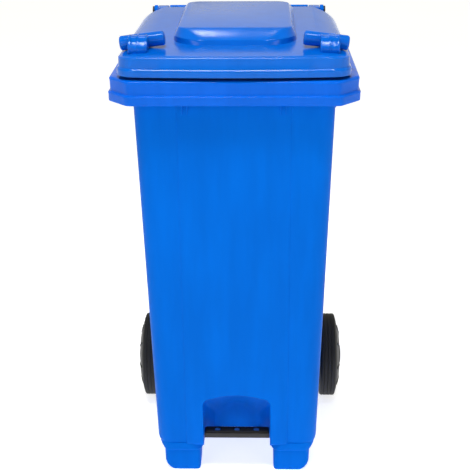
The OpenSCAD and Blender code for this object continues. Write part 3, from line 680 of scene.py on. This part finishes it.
def crest():
    # raised panel: a steep low step and a long bevel at the front, a crisp rounded top edge
    y0, y1, half = frontY + lid["crestFront"], lidBack - 22, lid["crestW"] / 2
    # growth in plan, distance back, share of the height and front corner radius
    steps = [(11, 1.5, None, 64), (10.6, 2.6, 0.04, 63), (10.3, 4.2, 0.19, 60), (9.9, 5.8, 0.33, 57),
             (9.2, 7.4, 0.375, 53), (4.5, 25.5, 0.71, 38), (2, 36, 0.9, 26), (1, 40, 0.955, 22),
             (0, 43.5, 0.985, 20), (-2, 48, 1, 18)]
    rings = []
    for grow, back, share, r in steps:
        front = [((half + grow - r) * i / 8, y0 + back) for i in range(-7, 8)]
        outline = roundRect(half + grow, y0 + back, y1 + grow * 0.6, r, 26 + grow, 12, front)
        if share is None:   # the first ring lies inside the lid
            rings.append([(x, y, lidTop(y) - 1.5) for x, y in outline])
        else:
            rings.append([(x, y, mix(lidTop(y), crestTop, share)) for x, y in outline])
    return outward(skin("crest", rings))


def grips():
    # at each front corner: a round roll that follows the lid's fall, and a ribbed strap over it
    y = frontY + lid["gripBack"]
    rollY = y + 23
    x1 = lidHalf - 3
    x0 = x1 - lid["gripL"]
    rise = lid["gripL"] / 2 * math.tan(math.radians(lid["gripTilt"]))
    z = lidTop(rollY) + 13
    roll = bar("gripRoll", lid["gripD"] / 2, (x0, rollY, z + rise), (x1, rollY, z - rise), 72)
    rounded(roll, 4.5, 5, 50)

    top, tail = lidTop(y) + lid["gripD"] - 0.4, y + lid["tail"]
    nose = [(-23, -4), (-24.6, 2), (-25, 8), (-23.6, 11), (-17.4, 17), (-15.4, 19.6), (-14.4, 24),
            (-12.6, 26.6), (-9, 27.8)]
    strap = [(y + dy, lidTop(y) + dz) for dy, dz in nose]
    strap.append((y + 4, top))
    shares = (0.2, 0.4, 0.6, 0.8, 1.0)
    strap += [(mix(y + 4, tail, t), mix(top, lidTop(tail) - 1.2, t ** 0.9)) for t in shares]
    under = [(tail, lidTop(tail) - 4)]
    half = lid["strapW"] / 2
    band = slab("gripStrap", strap + under, lid["strapX"] - half, lid["strapX"] + half)
    pieces = [roll, rounded(band, 1.0)]

    # the ribs stand low over the nose and higher along the tail
    heights = [0, 0] + [1.5] * 9 + [4.5] * 4
    rib = [(p[0] - 0.8, p[1] + up) for p, up in zip(strap, heights)]
    end = tail + 20
    rib += [(end, lidTop(end) + 0.2), (end, lidTop(end) - 3), (y + 60, lidTop(y + 60))]
    for i in (-1, 0, 1):
        x = lid["strapX"] + i * lid["ribGap"]
        pieces.append(rounded(slab("gripRib", rib, x - lid["ribT"] / 2, x + lid["ribT"] / 2), 0.7))
    return pieces + [mirrored(p, p.name + "Left") for p in pieces]


def knuckles():
    # the arms that hinge on the pins, bored for them
    x0, x1 = tub["knuckleX"] - tub["knuckleW"] / 2, tub["knuckleX"] + tub["knuckleW"] / 2
    r = lid["knuckleR"]
    outline = arcPoints(hingeY, hingeZ, r, -90, 90, 12)
    outline += [(lidBack - 16, lidTop(lidBack) - 2.5), (lidBack - 13, lidTop(lidBack) - 13),
                (lidBack - 2, hingeZ - r - 3)]
    arm = rounded(slab("hingeArm", outline, x0, x1), 1.5, 3)
    bored(arm, bar("pinBore", lid["pinHole"], (x0 - 8, hingeY, hingeZ), (x1 + 8, hingeY, hingeZ), 32))
    return [arm, mirrored(arm, "hingeArmLeft")]


lidPiece = joined("lid", [lidShell(), crest()] + grips() + knuckles())
placed(lidPiece, "lid", "lid", lidPlastic, ["lid"], 28)
print("lid made:", len(lidPiece.data.polygons), "faces")


wheels = {
    "seat": 84, "hub": 24, "bore": 10.05, "slope": 11, "capOut": 5.5, "dish": 6, "ribs": 8,
    "grooves": (9, 17.5, 26),
}
wheelCentre = (0, axleY, axleZ)
faceX = capHigh.x - wheels["capOut"]
shoulderX = faceX - wheels["slope"]
faceR = tyreR * 0.6


def slopeX(r, sunk=0):
    # how far out the wheel's sloping side lies at this radius
    return mix(shoulderX, faceX, (tyreR - r) / (tyreR - faceR)) - sunk


def tyre():
    # grooved tread, rounded shoulders and a fine groove round the sloping side
    seat, x0 = wheels["seat"], wheelLow.x
    profile = [(seat, x0), (tyreR - 8, x0 + 0.2), (tyreR - 3, x0 + 1.6), (tyreR - 0.8, x0 + 3.8),
               (tyreR, x0 + 6)]
    for place in wheels["grooves"]:
        x = x0 + place
        profile += [(tyreR, x), (tyreR - 1.5, x + 0.4), (tyreR - 1.5, x + 1.6), (tyreR, x + 2)]
    profile += [(tyreR, shoulderX - 3), (tyreR - 0.5, shoulderX - 1.2), (tyreR - 1.6, shoulderX - 0.2)]
    for depth, sunk in ((4, 0), (8, 0), (8.6, 0.6), (9.6, 0.6), (10.2, 0)):
        profile.append((tyreR - depth, slopeX(tyreR - depth, sunk)))
    profile += [(seat + 1, slopeX(seat + 1)), (seat, slopeX(seat, 1))]
    return turned("tyre", profile, wheelCentre, 128)


def disc():
    # hub, web and rim of the wheel, turned in one profile, with the bore in its middle
    seat, hub, bore, x0 = wheels["seat"], wheels["hub"], wheels["bore"], wheelLow.x
    back = faceX - wheels["dish"]
    profile = [(bore, x0 - 3), (hub - 1.2, x0 - 3), (hub, x0 - 1.8), (hub + 2, back), (faceR, back),
               (seat - 6, slopeX(seat - 6, 6)), (seat - 6, x0 + 3), (seat - 5, x0 + 2), (seat - 0.2, x0 + 2),
               (seat - 0.2, slopeX(seat, 2.2)), (seat - 1.4, slopeX(seat, 1)),
               (seat - 3, slopeX(seat - 3, 0.6)),
               (seat - 5, slopeX(seat - 5, 1.6)), (seat - 9, slopeX(seat - 9, 1.6)),
               (faceR + 6, slopeX(faceR + 6, 1)), (faceR + 2, faceX - 0.6), (faceR - 2, faceX - 0.2),
               (faceR - 6, faceX), (hub + 4, faceX), (hub + 1, faceX - 0.2), (hub - 0.2, faceX - 1.2),
               (hub - 0.2, faceX - 7), (bore, faceX - 7)]
    return turned("wheelDisc", profile, wheelCentre, 128)


def wheelRibs():
    # raised ribs on the outside, and stiffening ribs across the dish behind
    seat, hub = wheels["seat"], wheels["hub"]
    back = faceX - wheels["dish"]
    pieces = []
    for i in range(wheels["ribs"]):
        turn = Matrix.Rotation(2 * math.pi * i / wheels["ribs"], 4, "X")
        turn = Matrix.Translation(Vector(wheelCentre) * mm) @ turn
        rings = []
        for r, w in ((hub + 5, 3), (faceR, 2.6), (seat - 7, 2.2)):
            top = slopeX(max(r, faceR)) + 0.9
            rings.append([(back, r, -w), (back, r, w), (top, r, w * 0.6), (top, r, -w * 0.6)])
        rib = rounded(outward(skin("rib", rings)), 0.5)
        outline = [(hub - 1, -1.5), (hub - 1, 1.5), (seat - 5.5, 1.5), (seat - 5.5, -1.5)]
        inner = slab("innerRib", outline, wheelLow.x + 8, back + 1)
        for piece in (rib, inner):
            piece.data.transform(turn)
            pieces.append(piece)
    return pieces


def hubCap():
    # a shallow dome on a short skirt that clips into the hub
    hub, top = wheels["hub"], capHigh.x
    profile = [(0.02, top - 2.6), (hub - 8, top - 2.6), (hub - 2.4, top - 5), (hub - 2.4, faceX - 6.5),
               (hub - 0.5, faceX - 6.5), (hub - 0.5, top - 3.6), (hub - 1.6, top - 2), (hub - 4, top - 0.9),
               (hub - 9, top - 0.2), (hub - 12, top), (0.02, top)]
    return turned("cap", profile, wheelCentre, 64)


def wheelSet(side):
    label = "Right" if side > 0 else "Left"
    tread = tyre()
    wheel = joined("wheel", [disc()] + wheelRibs())
    for piece, name, node, slotName, material in (
            (tread, "tyre", "tyre_", "tyre", tyreRubber),
            (wheel, "wheel", "wheel_", "black_plastic", blackPlastic),
            (hubCap(), "hubCap", "hub_cap_", "black_plastic", blackPlastic)):
        if side < 0:
            piece.data.transform(Matrix.Scale(-1, 4, Vector((1, 0, 0))))
            outward(piece)
        placed(piece, name + label, label.lower() + "_wheel", material, [node + label.lower()])


wheelSet(1)
wheelSet(-1)
print("wheels made")


def softCopy(node, width):
    # a copy of a plain solid with its edges rounded
    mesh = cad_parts[node].data.copy()
    piece = bpy.data.objects.new(node, mesh)
    bpy.context.scene.collection.objects.link(piece)
    workOn(piece)
    bpy.ops.object.mode_set(mode="EDIT")
    bpy.ops.mesh.select_all(action="SELECT")
    bpy.ops.mesh.remove_doubles(threshold=0.01 * mm)
    bpy.ops.mesh.dissolve_limited(angle_limit=math.radians(1))
    leaveEdit()
    return rounded(piece, width, 2, 35)


smallParts = [
    # node, name, body, edge radius, slot and material
    ("pedal_tread", "pedalTread", "pedal", 2.2, "black_plastic", blackPlastic),
    ("pedal_pad", "pedalPad", "pedal", 0.5, "rubber", softRubber),
    ("pedal_lever", "pedalLever", "pedal", 0.8, "black_steel", blackSteel),
    ("rod_guide", "rodGuide", "tub", 0.8, "black_plastic", blackPlastic),
    ("rod_foot", "rodFoot", "rod", 0.6, "black_plastic", blackPlastic),
    ("push_rod", "pushRod", "rod", 0.5, "steel", zincSteel),
    ("rod_pin", "rodPin", "rod", 0.4, "steel", zincSteel),
    ("lid_bracket", "lidBracket", "lid", 0.5, "black_steel", blackSteel),
    ("hinge_pins", "hingePins", "tub", 0.8, "black_plastic", blackPlastic),
    ("axle", "axle", "tub", 0.8, "steel", zincSteel),
    ("axle_washers", "axleSpacers", "tub", 0.8, "black_plastic", blackPlastic),
    ("axle_clips", "axleClips", "tub", 0.3, "steel", zincSteel),
    ("pivot_pin", "pivotPin", "tub", 0.6, "steel", zincSteel),
    ("pivot_clips", "pivotClips", "tub", 0.3, "steel", zincSteel),
    ("lid_buffers", "lidBuffers", "tub", 0.8, "rubber", softRubber),
    ("pedal_bolts", "pedalBolts", "pedal", 0.4, "steel", zincSteel),
    ("guide_screws", "guideScrews", "tub", 0.4, "steel", zincSteel),
    ("bracket_screws", "bracketScrews", "lid", 0.4, "steel", zincSteel),
]
for node, name, body, width, slotName, material in smallParts:
    placed(softCopy(node, width), name, body, material, [node])
print("small parts made")


floorPaint = {"size": 160, "tones": ("#F4F4F4", "#F8F8F8"), "glow": 0.72}
lights = [
    # name, place and aim in metres, width, height and watts
    ("overheadFront", (-0.25, -0.9, 3.0), (-0.05, -0.1, 0.9), 1.3, 0.3, 44),
    ("overheadRight", (0.62, -0.9, 2.8), (0.1, -0.1, 0.9), 0.1, 0.6, 7),
    ("overheadBack", (-0.2, 1.05, 3.4), (-0.07, -0.13, 0.93), 0.11, 0.5, 5),
    ("overheadStrip", (0.145, 1.05, 3.4), (0.1, -0.13, 0.93), 0.022, 0.4, 1),
    ("frontLeft", (-2.2, -3.4, 1.9), (0, 0, 0.5), 1.6, 1.6, 23),
    ("frontRight", (2.4, -3.2, 1.7), (0, 0, 0.5), 1.4, 1.4, 15),
]
view = {"place": (0.0537, -2.295, 1.325), "yaw": -0.026, "pitch": 0.354, "roll": -0.007, "lens": 85.02}


def paleFloor():
    # painted white: matt, faintly mottled, and glowing a little so that it stays pale all over
    material, tree, place = emptyMaterial("Painted studio floor, white")
    mottle = addNode(tree, "TexNoise", {"Vector": place, "Scale": 1.5, "Detail": 2.0})
    shader = addNode(tree, "BsdfPrincipled", {
        "Base Color": twoTones(tree, mottle.outputs["Fac"], *floorPaint["tones"]), "Roughness": 0.8,
        "Specular IOR Level": 0.2, "Emission Color": (1, 1, 1, 1), "Emission Strength": floorPaint["glow"]})
    addNode(tree, "OutputMaterial", {"Surface": shader.outputs["BSDF"]})
    deselectAll()
    bpy.ops.mesh.primitive_plane_add(size=floorPaint["size"], location=(0, 0, 0))
    floor = bpy.context.object
    floor.name = "floor"
    floor.data.materials.append(material)


def areaLight(name, place, aim, width, height, watts):
    light = bpy.data.lights.new(name, "AREA")
    light.shape = "RECTANGLE"
    light.size, light.size_y, light.energy = width, height, watts
    lamp = bpy.data.objects.new(name, light)
    bpy.context.scene.collection.objects.link(lamp)
    lamp.location = place
    lamp.rotation_euler = (Vector(aim) - Vector(place)).to_track_quat("-Z", "Y").to_euler()


def skyDome():
    # soft light from all round: bright low down at the back, dimmer overhead and behind the camera
    world = bpy.data.worlds.new("studio")
    bpy.context.scene.world = world
    world.use_nodes = True
    tree = world.node_tree
    way = addNode(tree, "TexCoord").outputs["Generated"]
    axes = addNode(tree, "SeparateXYZ", {"Vector": way})
    height = addNode(tree, "MapRange", {
        "Value": axes.outputs["Z"], "From Min": 0.35, "From Max": 0.85, "To Min": 1.0, "To Max": 0.35})
    back = addNode(tree, "MapRange", {
        "Value": axes.outputs["Y"], "From Min": -0.4, "From Max": 0.5, "To Min": 0.3, "To Max": 0.66})
    strength = addNode(tree, "Math", {
        0: height.outputs["Result"], 1: back.outputs["Result"]}, operation="MULTIPLY")
    backdrop = tree.nodes["Background"]
    backdrop.inputs["Color"].default_value = (1, 0.98, 0.86, 1)
    tree.links.new(strength.outputs["Value"], backdrop.inputs["Strength"])


def camera():
    data = bpy.data.cameras.new("camera")
    data.sensor_width, data.lens = 36, view["lens"]
    eye = bpy.data.objects.new("camera", data)
    bpy.context.scene.collection.objects.link(eye)
    yaw, pitch, roll = view["yaw"], view["pitch"], view["roll"]
    ahead = Vector((math.sin(yaw) * math.cos(pitch), math.cos(yaw) * math.cos(pitch), -math.sin(pitch)))
    level = Vector((math.cos(yaw), -math.sin(yaw), 0))
    upright = level.cross(ahead)
    right = level * math.cos(roll) + upright * math.sin(roll)
    up = upright * math.cos(roll) - level * math.sin(roll)
    turn = Matrix((right, up, -ahead)).transposed().to_4x4()
    eye.matrix_world = Matrix.Translation(view["place"]) @ turn
    bpy.context.scene.camera = eye


paleFloor()
skyDome()
for light in lights:
    areaLight(*light)
camera()
bpy.context.scene.view_settings.view_transform = "Standard"
print("studio made")
